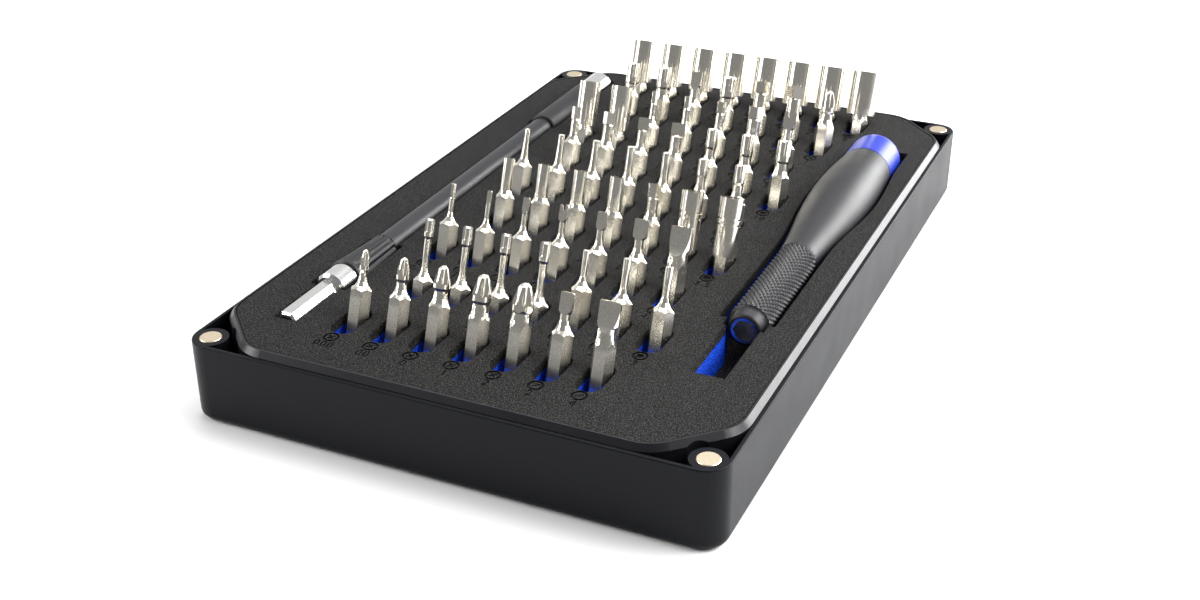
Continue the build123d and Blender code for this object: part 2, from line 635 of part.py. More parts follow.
# Each entry is a bit, left to right and front to back: kind, then the numbers that kind takes.
LOW, MID, HIGH = 0.2, 4.2, 5.0      # how far the hex stands above the foam
ROWS = [
    [("cross_000", cross_bit, 1.7, HIGH, 0.72), ("cross_00", cross_bit, 2.4, HIGH, 0.95),
     ("cross_0", cross_bit, 3.3, HIGH, 1.3), ("cross_1", cross_bit, 3.8, MID, 1.6),
     ("cross_2", cross_bit, 4.4, MID, 1.95), ("slot_2_5", slot_bit, 2.7, HIGH, 1.0),
     ("slot_4_0", slot_bit, 4.3, MID, 1.85)],
    [("tripoint_1", lobed_bit, 1.9, LOW, 0.72, 3), ("tripoint_2", lobed_bit, 2.0, LOW, 0.75, 3),
     ("tripoint_3", lobed_bit, 2.1, LOW, 0.78, 3), ("tripoint_4", lobed_bit, 2.2, LOW, 0.8, 3),
     ("pentalobe_1", lobed_bit, 1.25, HIGH, 0.6, 5), ("pentalobe_2", lobed_bit, 1.5, MID, 0.7, 5),
     ("pentalobe_3", lobed_bit, 1.6, MID, 0.75, 5)],
    [("hex_0_9", key_bit, 1.0, MID, 0.5, 6), ("slot_1_0", slot_bit, 1.1, MID, 0.5),
     ("slot_1_5", slot_bit, 1.5, MID, 0.6), ("spanner_1_8", spanner_bit, 1.9, MID, 0.6),
     ("slot_2_0", slot_bit, 2.2, MID, 0.8), ("slot_3_0", slot_bit, 3.0, MID, 1.0),
     ("slot_4_5", slot_bit, 4.4, MID, 2.0)],
    [("nut_1_5", nut_bit, 2.5, MID, 1.5), ("nut_2_0", nut_bit, 3.0, MID, 2.0),
     ("nut_2_2", nut_bit, 3.1, MID, 2.2), ("nut_2_5", nut_bit, 3.3, MID, 2.5),
     ("hex_2_5", key_bit, 2.6, MID, 1.2, 6), ("nut_3_0", nut_bit, 4.8, LOW, 3.0, True),
     ("nut_3_5", nut_bit, 5.0, LOW, 3.5, True)],
    [("star_1", lobed_bit, 1.2, MID, 0.8, 6), ("star_2", lobed_bit, 1.4, MID, 0.85, 6),
     ("star_3", lobed_bit, 1.6, MID, 0.9, 6), ("star_4", lobed_bit, 1.8, MID, 0.9, 6),
     ("star_5", lobed_bit, 2.0, MID, 0.95, 6), ("star_6", lobed_bit, 2.2, MID, 1.0, 6),
     ("star_7", lobed_bit, 2.4, MID, 1.1, 6)],
    [("square_1", key_bit, 1.6, MID, 0.9, 4), ("square_2", key_bit, 2.2, MID, 1.2, 4),
     ("triangle_2", key_bit, 1.5, MID, 1.0, 3), ("triangle_3", key_bit, 1.9, MID, 1.3, 3),
     ("star_8", lobed_bit, 2.6, MID, 1.1, 6, True), ("star_9", lobed_bit, 3.0, MID, 1.3, 6, True),
     ("star_10", lobed_bit, 3.2, MID, 1.4, 6, True)],
    [("nut_4_0", nut_bit, 5.2, LOW, 4.0), ("nut_4_5", nut_bit, 5.4, LOW, 4.5),
     ("hex_1_3", key_bit, 1.3, MID, 0.7, 6), ("hex_1_5", key_bit, 1.5, MID, 0.8, 6),
     ("hex_2_0", key_bit, 2.0, MID, 1.0, 6), ("hex_3_0", key_bit, 3.0, MID, 1.5, 6),
     ("spanner_3_0", spanner_bit, 3.0, MID, 1.0)],
    [("star_15", lobed_bit, 3.3, MID, 1.5, 6, True), ("star_20", lobed_bit, 3.6, MID, 1.6, 6, True),
     ("oval_1", slot_bit, 2.6, MID, 1.2), ("star_25", lobed_bit, 3.8, MID, 1.7, 6, True),
     ("hex_3_5", key_bit, 3.4, MID, 1.6, 6), ("square_3", key_bit, 2.8, MID, 1.6, 4),
     ("magnet_pick", cross_bit, 3.0, MID, 1.4)],
    [("nut_5_0", nut_bit, 6.2, LOW, 4.6), ("nut_5_5", nut_bit, 6.2, LOW, 4.8),
     ("nut_6_0", nut_bit, 6.4, LOW, 5.0), ("nut_6_2", nut_bit, 6.4, LOW, 5.1),
     ("nut_6_5", nut_bit, 6.6, LOW, 5.2), ("nut_7_0", nut_bit, 6.6, LOW, 5.3),
     ("nut_7_2", nut_bit, 6.8, LOW, 5.4), ("nut_8_0", nut_bit, 7.2, LOW, 5.6)],
]
SEATS = [(row, col) for row, bits in enumerate(ROWS) for col in range(len(bits))]
SINGLE_ROWS = 4           # bits in the rows behind these share nodes, two nodes to a row


def make_bit(row, col):
    """Build one bit where it stands."""
    name, kind, *numbers = ROWS[row][col]
    with BuildPart() as bit:
        kind(bit_seat(row, col), *numbers)
    bit.part.label = f"bit_{name}"
    return bit.part


def build_bits():
    """Front rows as single nodes; each rear row as a left and a right group."""
    for row, bits in enumerate(ROWS):
        made = [make_bit(row, col) for col in range(len(bits))]
        if row < SINGLE_ROWS:
            for bit in made:
                save(bit, bit.label)
            continue
        half = len(made) // 2 + len(made) % 2
        for side, group in (("left", made[:half]), ("right", made[half:])):
            save(Compound(children=group), f"bits_row_{row + 1}_{side}")


build_case_shell()
build_case_magnets()
build_liner()
build_foam()
build_driver()
build_flex()
build_bits()
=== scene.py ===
"""Looks of a precision screwdriver set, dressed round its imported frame.

Lengths in the classes are millimetres and are turned into metres where a mesh is made.  The frame's own axes
are used throughout: X runs across the tray, Y along it with the small bits in front, and Z is up.
"""
from __future__ import annotations

import json
import logging
import math
from dataclasses import dataclass, field
from enum import Enum
from typing import Callable, Iterator, Sequence

import bmesh
import bpy
from mathutils import Matrix, Vector

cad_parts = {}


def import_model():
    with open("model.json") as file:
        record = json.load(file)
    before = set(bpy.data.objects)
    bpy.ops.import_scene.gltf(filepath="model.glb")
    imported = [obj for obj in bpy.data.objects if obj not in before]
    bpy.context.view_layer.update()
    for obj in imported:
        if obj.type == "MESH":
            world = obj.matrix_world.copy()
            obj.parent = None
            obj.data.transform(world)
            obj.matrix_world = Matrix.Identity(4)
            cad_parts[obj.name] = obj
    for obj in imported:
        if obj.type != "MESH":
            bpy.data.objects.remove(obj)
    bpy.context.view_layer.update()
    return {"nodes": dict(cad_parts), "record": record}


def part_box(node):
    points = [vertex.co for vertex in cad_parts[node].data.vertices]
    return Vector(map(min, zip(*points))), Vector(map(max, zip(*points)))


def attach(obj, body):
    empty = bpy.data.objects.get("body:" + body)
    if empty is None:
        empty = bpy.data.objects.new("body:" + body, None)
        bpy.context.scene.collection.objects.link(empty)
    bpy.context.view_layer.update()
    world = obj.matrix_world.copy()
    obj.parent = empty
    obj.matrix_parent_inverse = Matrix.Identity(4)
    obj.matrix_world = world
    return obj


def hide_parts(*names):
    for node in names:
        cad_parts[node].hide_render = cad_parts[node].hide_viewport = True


log = logging.getLogger("screwdriver_set")

MM = 0.001

Colour = tuple[float, float, float]
Outline = list[tuple[float, float]]
Socket = bpy.types.NodeSocket
Materials = dict[str, bpy.types.Material]

SAME_SPOT = 1e-6          # metres within which two corners are one


# ---- finishes --------------------------------------------------------------------------------------
class NodeBench:
    """The shader nodes of one material, with short calls to place and wire them."""

    def __init__(self, name: str) -> None:
        """Start a material.

        Args:
            name: the material's name.
        """
        self.material = bpy.data.materials.new(name)
        self.material.use_nodes = True
        self.tree = self.material.node_tree
        self.shader = self.tree.nodes["Principled BSDF"]
        self.place = self.add("ShaderNodeTexCoord").outputs["Object"]

    def add(self, kind: str) -> bpy.types.Node:
        """Add a node of that kind."""
        return self.tree.nodes.new(kind)

    def wire(self, source: Socket, target: Socket) -> None:
        """Join two sockets."""
        self.tree.links.new(source, target)

    def shifted(self, stretch: Colour = (1, 1, 1), turn: Colour = (0, 0, 0)) -> Socket:
        """Object coordinates, turned and then stretched.

        Args:
            stretch: how many times finer the pattern is along each axis.
            turn: angles in radians.

        Returns:
            The vector socket.
        """
        turned = self.add("ShaderNodeMapping")
        turned.inputs["Rotation"].default_value = turn
        self.wire(self.place, turned.inputs["Vector"])
        scaled = self.add("ShaderNodeMapping")
        scaled.inputs["Scale"].default_value = stretch
        self.wire(turned.outputs["Vector"], scaled.inputs["Vector"])
        return scaled.outputs["Vector"]

    def noise(
        self,
        grain: float,
        detail: float = 2.0,
        stretch: Colour = (1, 1, 1),
        turn: Colour = (0, 0, 0),
    ) -> Socket:
        """Cloudy noise.

        Args:
            grain: size of one grain in millimetres.
            detail: how many finer octaves are added.
            stretch: how many times finer the pattern is along each axis.
            turn: angles in radians.

        Returns:
            The noise, from 0 to 1.
        """
        node = self.add("ShaderNodeTexNoise")
        node.inputs["Scale"].default_value = 1 / (grain * MM)
        node.inputs["Detail"].default_value = detail
        self.wire(self.shifted(stretch, turn), node.inputs["Vector"])
        return node.outputs["Fac"]

    def cells(self, grain: float) -> Socket:
        """Distance to the nearest cell centre, for pores; grain is the cell size in millimetres."""
        node = self.add("ShaderNodeTexVoronoi")
        node.inputs["Scale"].default_value = 1 / (grain * MM)
        self.wire(self.place, node.inputs["Vector"])
        return node.outputs["Distance"]

    def ramp(self, factor: Socket, stops: Sequence[tuple[float, Colour]]) -> Socket:
        """Colours along a factor.

        Args:
            factor: a socket from 0 to 1.
            stops: place and colour of each stop.

        Returns:
            The colour socket.
        """
        node = self.add("ShaderNodeValToRGB")
        band = node.color_ramp
        while len(band.elements) < len(stops):
            band.elements.new(0.5)
        for element, (place, colour) in zip(band.elements, stops):
            element.position = place
            element.color = (*colour, 1)
        self.wire(factor, node.inputs["Fac"])
        return node.outputs["Color"]

    def span(self, factor: Socket, low: float, high: float) -> Socket:
        """A factor from 0 to 1, moved to run from low to high."""
        node = self.add("ShaderNodeMapRange")
        node.inputs["To Min"].default_value = low
        node.inputs["To Max"].default_value = high
        self.wire(factor, node.inputs["Value"])
        return node.outputs["Result"]

    def bump(self, height: Socket, depth: float, strength: float = 1.0) -> None:
        """Roughen the surface, over any bump that is there already.

        Args:
            height: the height pattern, from 0 to 1.
            depth: its full depth in millimetres.
            strength: share of the effect.
        """
        node = self.add("ShaderNodeBump")
        node.inputs["Strength"].default_value = strength
        node.inputs["Distance"].default_value = depth * MM
        self.wire(height, node.inputs["Height"])
        normal = self.shader.inputs["Normal"]
        if normal.is_linked:
            self.wire(normal.links[0].from_socket, node.inputs["Normal"])
        self.wire(node.outputs["Normal"], normal)


@dataclass(frozen=True)
class Finish:
    """What all finishes share: a name, a linear colour and a mean roughness."""

    name: str
    colour: Colour
    roughness: float

    def tint(self, share: float) -> Colour:
        """The colour made darker or lighter by a share."""
        return tuple(min(1.0, channel * share) for channel in self.colour)

    def material(self) -> bpy.types.Material:
        """Build the material."""
        bench = NodeBench(self.name)
        self.dress(bench)
        return bench.material

    def dress(self, bench: NodeBench) -> None:
        """Wire the finish on a bench; each kind of finish has its own way."""
        raise NotImplementedError


@dataclass(frozen=True)
class MouldedPlastic(Finish):
    """Moulded plastic with a fine spark-eroded grain."""

    grain: float = 0.22
    depth: float = 0.012
    shine: float = 0.5
    contrast: float = 0.25

    def dress(self, bench: NodeBench) -> None:
        """Grain in colour, roughness and height."""
        grain = bench.noise(self.grain, 3)
        cloud = bench.noise(9.0, 2)
        bench.wire(
            bench.ramp(grain, [(0.3, self.tint(1 - self.contrast)), (0.7, self.tint(1 + self.contrast))]),
            bench.shader.inputs["Base Color"],
        )
        bench.wire(
            bench.span(cloud, self.roughness - 0.05, self.roughness + 0.05),
            bench.shader.inputs["Roughness"],
        )
        bench.shader.inputs["Specular IOR Level"].default_value = self.shine
        bench.bump(grain, self.depth)


@dataclass(frozen=True)
class CellFoam(Finish):
    """Closed-cell foam: a skin of tiny pores with paler specks."""

    speck: Colour = (0.08, 0.078, 0.076)
    pore: float = 0.23
    depth: float = 0.05

    def dress(self, bench: NodeBench) -> None:
        """Specks, pores and a soft unevenness."""
        speckle = bench.noise(self.pore, 4)
        bench.wire(
            bench.ramp(speckle, [(0.42, self.tint(0.3)), (0.53, self.colour), (0.66, self.speck)]),
            bench.shader.inputs["Base Color"],
        )
        bench.wire(
            bench.span(speckle, self.roughness - 0.1, self.roughness), bench.shader.inputs["Roughness"]
        )
        bench.shader.inputs["Specular IOR Level"].default_value = 0.2
        bench.bump(bench.noise(7.0, 2), 0.15, 0.4)
        bench.bump(bench.cells(self.pore), self.depth, 0.6)
        bench.bump(speckle, self.depth, 0.8)


@dataclass(frozen=True)
class PlatedMetal(Finish):
    """Nickel plate or bare steel, with machining marks round or along the piece."""

    along: Colour = (0, 0, 0)
    mark: float = 0.5
    depth: float = 0.0018
    satin_below: float = 0.0
    satin: float = 0.0

    def dress(self, bench: NodeBench) -> None:
        """Turned rings, drawn streaks, and a satin lower part where there is one."""
        bench.shader.inputs["Metallic"].default_value = 1.0
        rings = bench.noise(self.mark, 2, stretch=(0.15, 0.15, 1.6), turn=self.along)
        streaks = bench.noise(self.mark, 3, stretch=(1.5, 1.5, 0.12), turn=self.along)
        grain = bench.noise(0.3, 3)
        bench.wire(
            bench.ramp(grain, [(0.25, self.tint(0.86)), (0.75, self.tint(1.08))]),
            bench.shader.inputs["Base Color"],
        )
        polish = bench.span(streaks, self.roughness * 0.7, self.roughness * 1.4)
        if self.satin_below:
            polish = self.satin_foot(bench, polish)
        bench.wire(polish, bench.shader.inputs["Roughness"])
        bench.bump(rings, self.depth, 0.5)
        bench.bump(grain, self.depth, 0.6)

    def satin_foot(self, bench: NodeBench, polish: Socket) -> Socket:
        """Make what is below a height satin.

        Args:
            bench: the material's nodes.
            polish: roughness of the upper part.

        Returns:
            The roughness of both.
        """
        split = bench.add("ShaderNodeSeparateXYZ")
        bench.wire(bench.place, split.inputs["Vector"])
        step = bench.add("ShaderNodeMapRange")
        step.inputs["From Min"].default_value = (self.satin_below - 0.4) * MM
        step.inputs["From Max"].default_value = (self.satin_below + 0.4) * MM
        bench.wire(split.outputs["Z"], step.inputs["Value"])
        blend = bench.add("ShaderNodeMix")
        blend.inputs["A"].default_value = self.satin
        bench.wire(step.outputs["Result"], blend.inputs["Factor"])
        bench.wire(polish, blend.inputs["B"])
        return blend.outputs["Result"]


@dataclass(frozen=True)
class SoftCoating(Finish):
    """Soft-touch coating on a handle: a faint nap, and a little sheen."""

    def dress(self, bench: NodeBench) -> None:
        """Fine nap over slow changes of gloss."""
        nap = bench.noise(0.16, 2)
        bench.wire(
            bench.ramp(nap, [(0.3, self.tint(0.85)), (0.7, self.tint(1.15))]),
            bench.shader.inputs["Base Color"],
        )
        bench.wire(
            bench.span(bench.noise(6.0, 2), self.roughness - 0.06, self.roughness + 0.06),
            bench.shader.inputs["Roughness"],
        )
        bench.bump(nap, 0.006, 0.6)


@dataclass(frozen=True)
class StagePaper(Finish):
    """White sweep that the set stands on."""

    def dress(self, bench: NodeBench) -> None:
        """Barely mottled white."""
        bench.wire(
            bench.ramp(bench.noise(40.0, 2), [(0.3, self.tint(0.995)), (0.7, self.colour)]),
            bench.shader.inputs["Base Color"],
        )
        bench.wire(bench.span(bench.noise(30.0), 0.9, 1.0), bench.shader.inputs["Roughness"])
        bench.shader.inputs["Specular IOR Level"].default_value = 0.0


LEAN_BACK = math.radians(20)        # how far the bits lean, which turns their machining marks too
FOAM_HEIGHT = 18.2
SHANK_OUT = 4.4                     # height above the foam up to which a bit is satin

FINISHES: dict[str, Finish] = {
    "case_plastic": MouldedPlastic("case_plastic", (0.0045, 0.005, 0.0075), 0.36, shine=0.12),
    "liner_plastic": MouldedPlastic("liner_plastic", (0.0075, 0.0075, 0.0105), 0.3, depth=0.006, shine=0.35),
    "black_foam": CellFoam("black_foam", (0.0075, 0.0073, 0.0072), 0.95),
    "blue_foam": CellFoam("blue_foam", (0.006, 0.07, 0.72), 0.85, speck=(0.02, 0.14, 0.9), depth=0.03),
    "magnet_nickel": PlatedMetal("magnet_nickel", (0.78, 0.66, 0.49), 0.34),
    "grip_coating": SoftCoating("grip_coating", (0.007, 0.007, 0.0095), 0.46),
    "blue_plastic": MouldedPlastic("blue_plastic", (0.006, 0.026, 0.36), 0.36, depth=0.004, contrast=0.06),
    "black_rubber": SoftCoating("black_rubber", (0.014, 0.014, 0.018), 0.36),
    "steel": PlatedMetal("steel", (0.78, 0.78, 0.77), 0.2, along=(math.radians(90), 0, 0)),
    "bit_nickel": PlatedMetal(
        "bit_nickel", (0.92, 0.885, 0.8), 0.14, along=(LEAN_BACK, 0, 0),
        satin_below=FOAM_HEIGHT + SHANK_OUT, satin=0.25,
    ),
}
# Near-black colour of the cut marks: partly the melted skin's own darkness, partly painted shade standing in
# for the recess.
MARK_AND_RECESS_SHADE_FINISH = MouldedPlastic("melted_mark_and_painted_shade", (0.0008, 0.0008, 0.0008), 0.5, depth=0.004, shine=0.08)


# ---- mesh helpers ----------------------------------------------------------------------------------
def add_piece(
    name: str, mesh: bpy.types.Mesh, body: str, materials: Sequence[bpy.types.Material]
) -> bpy.types.Object:
    """Put a mesh into the scene as a piece of the object.

    Args:
        name: the piece's name.
        mesh: its mesh, in metres in the frame's axes.
        body: the body that it moves with.
        materials: its materials, in the order of the mesh's indices.

    Returns:
        The new object.
    """
    piece = bpy.data.objects.new(name, mesh)
    bpy.context.scene.collection.objects.link(piece)
    mesh.materials.clear()
    for material in materials:
        mesh.materials.append(material)
    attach(piece, body)
    return piece


def mesh_from(sheet: bmesh.types.BMesh, name: str, sharp_deg: float = 35.0) -> bpy.types.Mesh:
    """Finish a bmesh as a smooth mesh whose corners over an angle stay sharp.

    Args:
        sheet: the bmesh, which is freed.
        name: the mesh's name.
        sharp_deg: angle in degrees from which an edge is sharp.

    Returns:
        The mesh.
    """
    bmesh.ops.recalc_face_normals(sheet, faces=sheet.faces)
    limit = math.radians(sharp_deg)
    for face in sheet.faces:
        face.smooth = True
    for edge in sheet.edges:
        edge.smooth = len(edge.link_faces) == 2 and edge.calc_face_angle(0.0) < limit
    mesh = bpy.data.meshes.new(name)
    sheet.to_mesh(mesh)
    sheet.free()
    return mesh


def prism(sheet: bmesh.types.BMesh, outline: Outline, low: float, high: float) -> None:
    """Add an upright prism, all in millimetres.

    Args:
        sheet: the bmesh to add to.
        outline: corners seen from above.
        low: height of its underside.
        high: height of its top.
    """
    rings = [[sheet.verts.new((x * MM, y * MM, z * MM)) for x, y in outline] for z in (low, high)]
    sheet.faces.new(list(reversed(rings[0])))
    sheet.faces.new(rings[1])
    for start in range(len(outline)):
        end = (start + 1) % len(outline)
        sheet.faces.new((rings[0][start], rings[0][end], rings[1][end], rings[1][start]))


def annulus(
    sheet: bmesh.types.BMesh, centre: Vector, radii: tuple[float, float], low: float, high: float
) -> None:
    """Add an upright ring, all in millimetres.

    Args:
        sheet: the bmesh to add to.
        centre: its centre seen from above.
        radii: its inner and outer radius.
        low: height of its underside.
        high: height of its top.
    """
    count = 24
    loops = []
    for radius, height in ((radii[0], low), (radii[1], low), (radii[1], high), (radii[0], high)):
        loops.append(
            [
                sheet.verts.new(
                    (
                        (centre.x + radius * math.cos(math.tau * step / count)) * MM,
                        (centre.y + radius * math.sin(math.tau * step / count)) * MM,
                        height * MM,
                    )
                )
                for step in range(count)
            ]
        )
    for index, loop in enumerate(loops):
        other = loops[(index + 1) % len(loops)]
        for step in range(count):
            after = (step + 1) % count
            sheet.faces.new((loop[step], loop[after], other[after], other[step]))


def lathe(
    sheet: bmesh.types.BMesh,
    profile: Sequence[tuple[float, float]],
    axis: tuple[float, float],
    count: int,
    relief: Callable[[float, float, float], float] | None = None,
) -> None:
    """Turn a profile about an axis that runs along Y, all in millimetres.

    Args:
        sheet: the bmesh to add to.
        profile: pairs of Y and radius; a radius of 0 closes the shape on the axis.
        axis: X and Z of the axis.
        count: faces round the piece.
        relief: extra radius for an angle, a Y and a radius, if any.
    """
    rows: list[list[bmesh.types.BMVert]] = []
    for y, radius in profile:
        if radius == 0:
            rows.append([sheet.verts.new((axis[0] * MM, y * MM, axis[1] * MM))])
            continue
        row = []
        for step in range(count):
            angle = math.tau * step / count
            out = radius + (relief(angle, y, radius) if relief else 0.0)
            row.append(
                sheet.verts.new(
                    ((axis[0] + out * math.cos(angle)) * MM, y * MM, (axis[1] + out * math.sin(angle)) * MM)
                )
            )
        rows.append(row)
    for near, far in zip(rows, rows[1:]):
        for step in range(count):
            after = (step + 1) % count
            corners = [near[step % len(near)], near[after % len(near)]]
            corners += [far[after % len(far)], far[step % len(far)]]
            unique = list(dict.fromkeys(corners))
            if len(unique) > 2:
                sheet.faces.new(unique)


def hermite(start: Vector, end: Vector, out: Vector, into: Vector, steps: int) -> list[tuple[float, float]]:
    """Points of a smooth curve between two points, without the first.

    Args:
        start: the first point.
        end: the last point.
        out: tangent at the start, as long as the curve is.
        into: tangent at the end.
        steps: how many points.

    Returns:
        The points.
    """
    points = []
    for step in range(1, steps + 1):
        t = step / steps
        spot = (
            start * (2 * t**3 - 3 * t**2 + 1)
            + out * (t**3 - 2 * t**2 + t)
            + end * (3 * t**2 - 2 * t**3)
            + into * (t**3 - t**2)
        )
        points.append((spot.x, spot.y))
    return points


def node_box(node: str) -> tuple[Vector, Vector]:
    """Lowest and highest corner of a frame node, in millimetres."""
    low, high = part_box(node)
    return low / MM, high / MM


# ---- marks in the foam -----------------------------------------------------------------------------
class TipIcon(Enum):
    """Generic sign for the shape of a bit's tip: its number of arms or corners, and how deep they are cut."""

    CROSS = ("arms", 4)
    BLADE = ("arms", 2)
    THREE = ("arms", 3)
    FIVE = ("lobes", 5)
    SIX = ("lobes", 6)
    SQUARE = ("corners", 4)
    TRIANGLE = ("corners", 3)
    HEXAGON = ("corners", 6)
    ROUND = ("corners", 16)

    def outline(self, radius: float) -> Outline:
        """Closed outline of the sign about the origin.

        Args:
            radius: its reach in millimetres.

        Returns:
            The corners.
        """
        kind, count = self.value
        if kind == "corners":
            return [self.spot(radius, math.tau * (step + 0.5) / count) for step in range(count)]
        if kind == "lobes":
            waves = 6 * count
            angles = [math.tau * step / waves for step in range(waves)]
            return [self.spot(radius * (0.78 + 0.22 * math.cos(count * angle)), angle) for angle in angles]
        half = 0.17 * radius
        inner = half / math.sin(math.pi / count) if count > 2 else half
        points: Outline = []
        for arm in range(count):
            angle = math.tau * arm / count + math.pi / 4
            points += [
                self.corner(radius, -half, angle),
                self.corner(radius, half, angle),
                self.spot(inner, angle + math.pi / count),
            ]
        return points

    @staticmethod
    def spot(radius: float, angle: float) -> tuple[float, float]:
        """Point at a radius and an angle."""
        return radius * math.cos(angle), radius * math.sin(angle)

    @staticmethod
    def corner(reach: float, side: float, angle: float) -> tuple[float, float]:
        """Point that far along an arm and that far beside it."""
        return (
            reach * math.cos(angle) - side * math.sin(angle),
            reach * math.sin(angle) + side * math.cos(angle),
        )


C, B, T, F, S = TipIcon.CROSS, TipIcon.BLADE, TipIcon.THREE, TipIcon.FIVE, TipIcon.SIX
Q, A, H, O = TipIcon.SQUARE, TipIcon.TRIANGLE, TipIcon.HEXAGON, TipIcon.ROUND
SEAT_MARKS: list[list[tuple[TipIcon, str]]] = [
    [(C, "000"), (C, "00"), (C, "0"), (C, "1"), (C, "2"), (B, "2"), (B, "4")],
    [(T, "1"), (T, "2"), (T, "3"), (T, "4"), (F, "1"), (F, "2"), (F, "3")],
    [(H, "0.9"), (B, "1"), (B, "1.5"), (B, "1.8"), (B, "2"), (B, "3"), (B, "4.5")],
    [(O, "1.5"), (O, "2"), (O, "2.2"), (O, "2.5"), (H, "2.5"), (O, "3"), (O, "3.5")],
    [(S, "1"), (S, "2"), (S, "3"), (S, "4"), (S, "5"), (S, "6"), (S, "7")],
    [(Q, "1"), (Q, "2"), (A, "2"), (A, "3"), (S, "8"), (S, "9"), (S, "10")],
    [(O, "4"), (O, "4.5"), (H, "1.3"), (H, "1.5"), (H, "2"), (H, "3"), (B, "3")],
    [(S, "15"), (S, "20"), (B, "1"), (S, "25"), (H, "3.5"), (Q, "3"), (C, "1")],
    [(O, "5"), (O, "5.5"), (O, "6"), (O, "6.2"), (O, "6.5"), (O, "7"), (O, "7.2"), (O, "8")],
]


@dataclass
class SeatGrid:
    """Where the bits stand, worked out from the first bits of the front rows."""

    first: str = "bit_cross_000"
    beside: str = "bit_cross_00"
    behind: str = "bit_tripoint_1"
    third: str = "bit_hex_0_9"

    def __post_init__(self) -> None:
        """Measure the pitches."""
        middle = {
            node: sum(node_box(node), Vector()) / 2
            for node in (self.first, self.beside, self.behind, self.third)
        }
        self.foot_y = node_box(self.first)[0].y
        self.first_x = middle[self.first].x
        self.pitch = middle[self.beside].x - self.first_x
        self.stagger = middle[self.behind].x - self.first_x
        self.row_pitch = (node_box(self.third)[0].y - self.foot_y) / 2

    def foot(self, row: int, column: int) -> Vector:
        """The foremost point of that bit's foot, seen from above, in millimetres."""
        return Vector(
            (
                self.first_x + column * self.pitch + (self.stagger if row % 2 else 0.0),
                self.foot_y + row * self.row_pitch,
                0.0,
            )
        )


@dataclass
class SeatMarks:
    """Signs and sizes melted into the foam in front of every bit."""

    grid: SeatGrid
    top: float
    depth: float = 0.22
    ring: tuple[float, float] = (1.15, 1.6)
    sign: float = 0.9
    icon_gap: float = 2.75
    digit_gap: float = 5.65
    digit_size: float = 2.7

    def cutter(self) -> bpy.types.Mesh:
        """All marks as closed prisms, ready to be cut out of the foam."""
        sheet = bmesh.new()
        low, high = self.top - self.depth, self.top + 0.5
        for row, marks in enumerate(SEAT_MARKS):
            for column, (icon, size) in enumerate(marks):
                foot = self.grid.foot(row, column)
                centre = foot - Vector((0, self.icon_gap, 0))
                annulus(sheet, centre, self.ring, low, high)
                prism(sheet, [(centre.x + x, centre.y + y) for x, y in icon.outline(self.sign)], low, high)
                self.digits(sheet, size, foot - Vector((0, self.digit_gap, 0)), low, high)
        bmesh.ops.recalc_face_normals(sheet, faces=sheet.faces)
        mesh = bpy.data.meshes.new("seat_marks")
        sheet.to_mesh(mesh)
        sheet.free()
        return mesh

    def digits(self, sheet: bmesh.types.BMesh, text: str, spot: Vector, low: float, high: float) -> None:
        """Add a number as closed prisms.

        Args:
            sheet: the bmesh to add to.
            text: the number.
            spot: its middle seen from above, in millimetres.
            low: height of its underside.
            high: height of its top.
        """
        curve = bpy.data.curves.new("number", "FONT")
        curve.body = text
        curve.size = self.digit_size
        curve.align_x = "CENTER"
        curve.align_y = "CENTER"
        curve.resolution_u = 3
        curve.space_character = 1.12
        curve.extrude = (high - low) / 2
        writer = bpy.data.objects.new("number", curve)
        bpy.context.scene.collection.objects.link(writer)
        bpy.context.view_layer.update()
        glyphs = bpy.data.meshes.new_from_object(writer.evaluated_get(bpy.context.evaluated_depsgraph_get()))
        lift = Matrix.Translation((spot.x, spot.y, (low + high) / 2))
        glyphs.transform(Matrix.Diagonal((MM, MM, MM, 1)) @ lift)
        before = len(sheet.verts)
        sheet.from_mesh(glyphs)
        sheet.verts.ensure_lookup_table()
        bmesh.ops.remove_doubles(sheet, verts=sheet.verts[before:], dist=SAME_SPOT)
        bpy.data.objects.remove(writer)
        bpy.data.curves.remove(curve)
        bpy.data.meshes.remove(glyphs)


